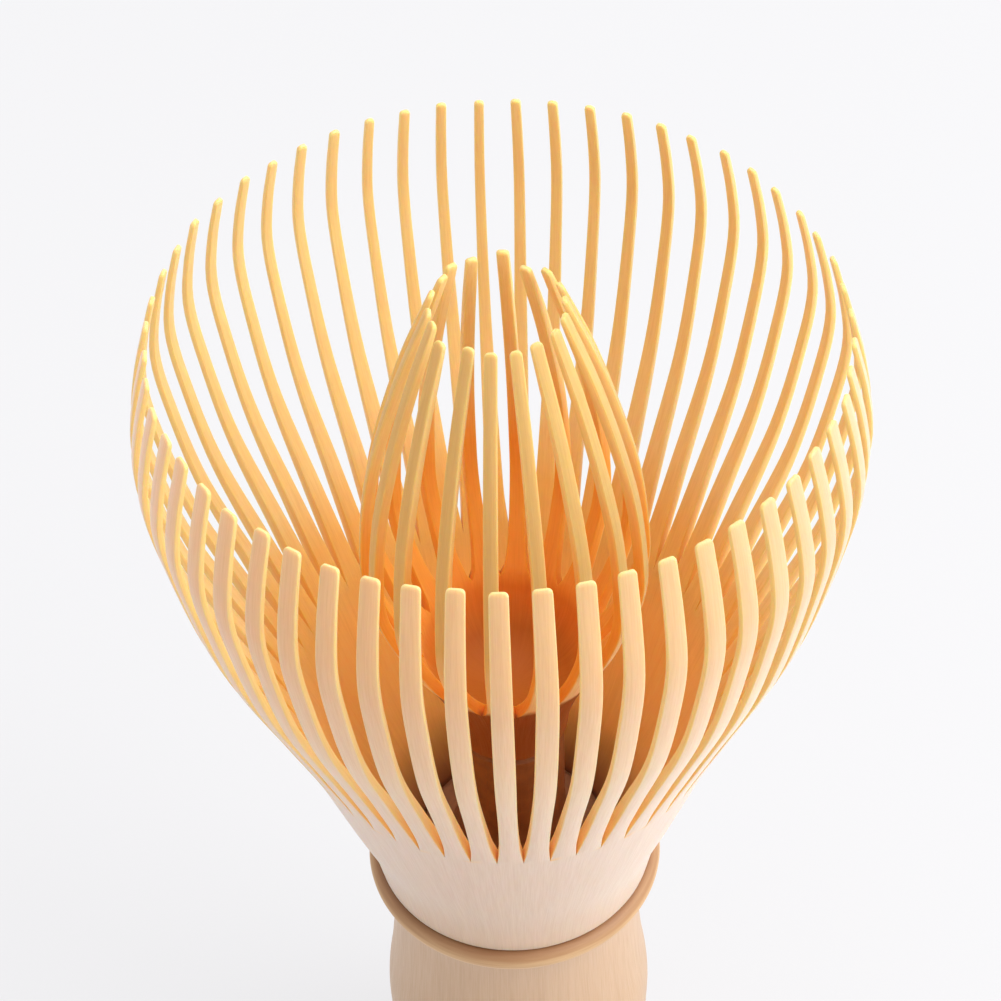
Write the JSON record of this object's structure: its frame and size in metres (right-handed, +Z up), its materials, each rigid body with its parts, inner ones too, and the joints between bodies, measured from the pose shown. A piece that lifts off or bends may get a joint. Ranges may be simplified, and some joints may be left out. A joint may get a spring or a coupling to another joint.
{
  "type": "bamboo tea whisk",
  "caption": "Bamboo tea whisk standing on its handle: a flared head of curved outer tines round a closed bud of inner tines, a thin raised ring and a round hollow handle.",
  "frame": {"origin": "centre of the handle's lower end, which the whisk stands on", "axes": "+Z up along the whisk's axis, from the handle to the tines; -Y is the front, where one outer tine lies"},
  "size_m": [0.0602, 0.0602, 0.115],
  "materials": {
    "bamboo_head": "smooth scraped bamboo, satin",
    "bamboo_bud": "smooth scraped bamboo, satin, warmer in colour",
    "post_brown": "dark turned wood, matte",
    "node_tan": "tan bamboo ring, slightly rough",
    "bamboo_handle": "smooth scraped bamboo, satin"
  },
  "bodies": {
    "root": {"outer_tine_head": "bamboo_head", "inner_tine_cluster": "bamboo_bud", "core_post": "post_brown", "node_ring": "node_tan", "handle": "bamboo_handle"}
  },
  "joints": []
}
